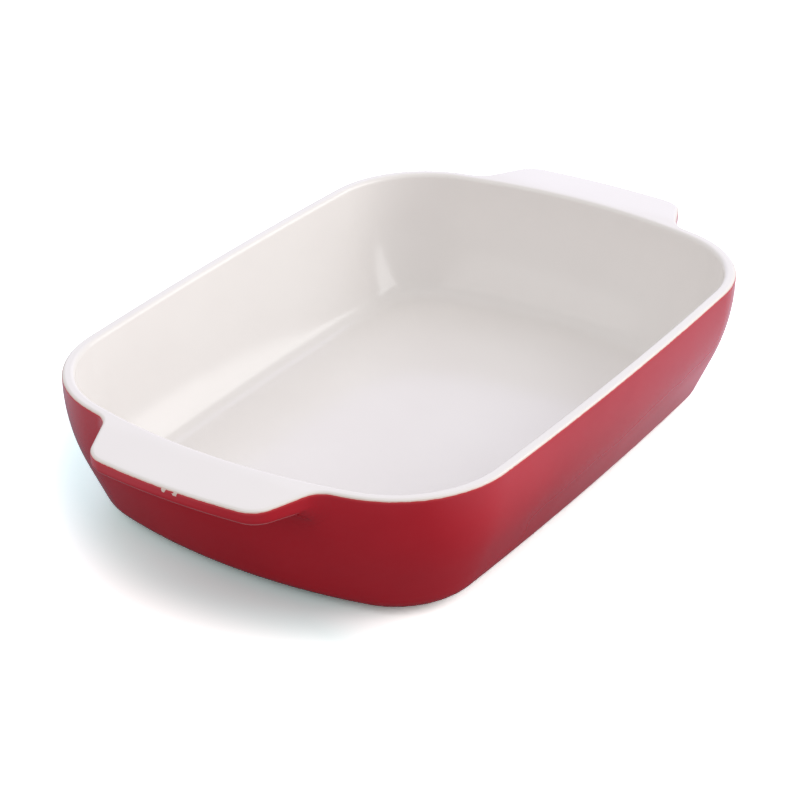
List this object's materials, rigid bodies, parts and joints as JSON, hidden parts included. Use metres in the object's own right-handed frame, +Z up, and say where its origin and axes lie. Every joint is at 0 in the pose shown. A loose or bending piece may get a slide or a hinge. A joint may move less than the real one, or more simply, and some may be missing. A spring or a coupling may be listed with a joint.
{
  "type": "lasagna dish",
  "caption": "Rectangular stoneware baking dish with flared walls, a wing handle at each end, light glaze inside and deep red glaze outside.",
  "frame": {"origin": "middle of the bounding box on the plane that the foot ring stands on", "axes": "+X along the length, towards one handle; +Y across the dish; +Z up"},
  "size_m": [0.38, 0.234, 0.071],
  "materials": {
    "stoneware": "matte bare clay",
    "cream_glaze": "glossy off-white glaze",
    "red_glaze": "glossy deep red glaze"
  },
  "bodies": {
    "root": {"stoneware_body": "stoneware", "cream_inner_glaze": "cream_glaze", "red_outer_glaze": "red_glaze", "red_base_glaze": "red_glaze"}
  },
  "joints": []
}
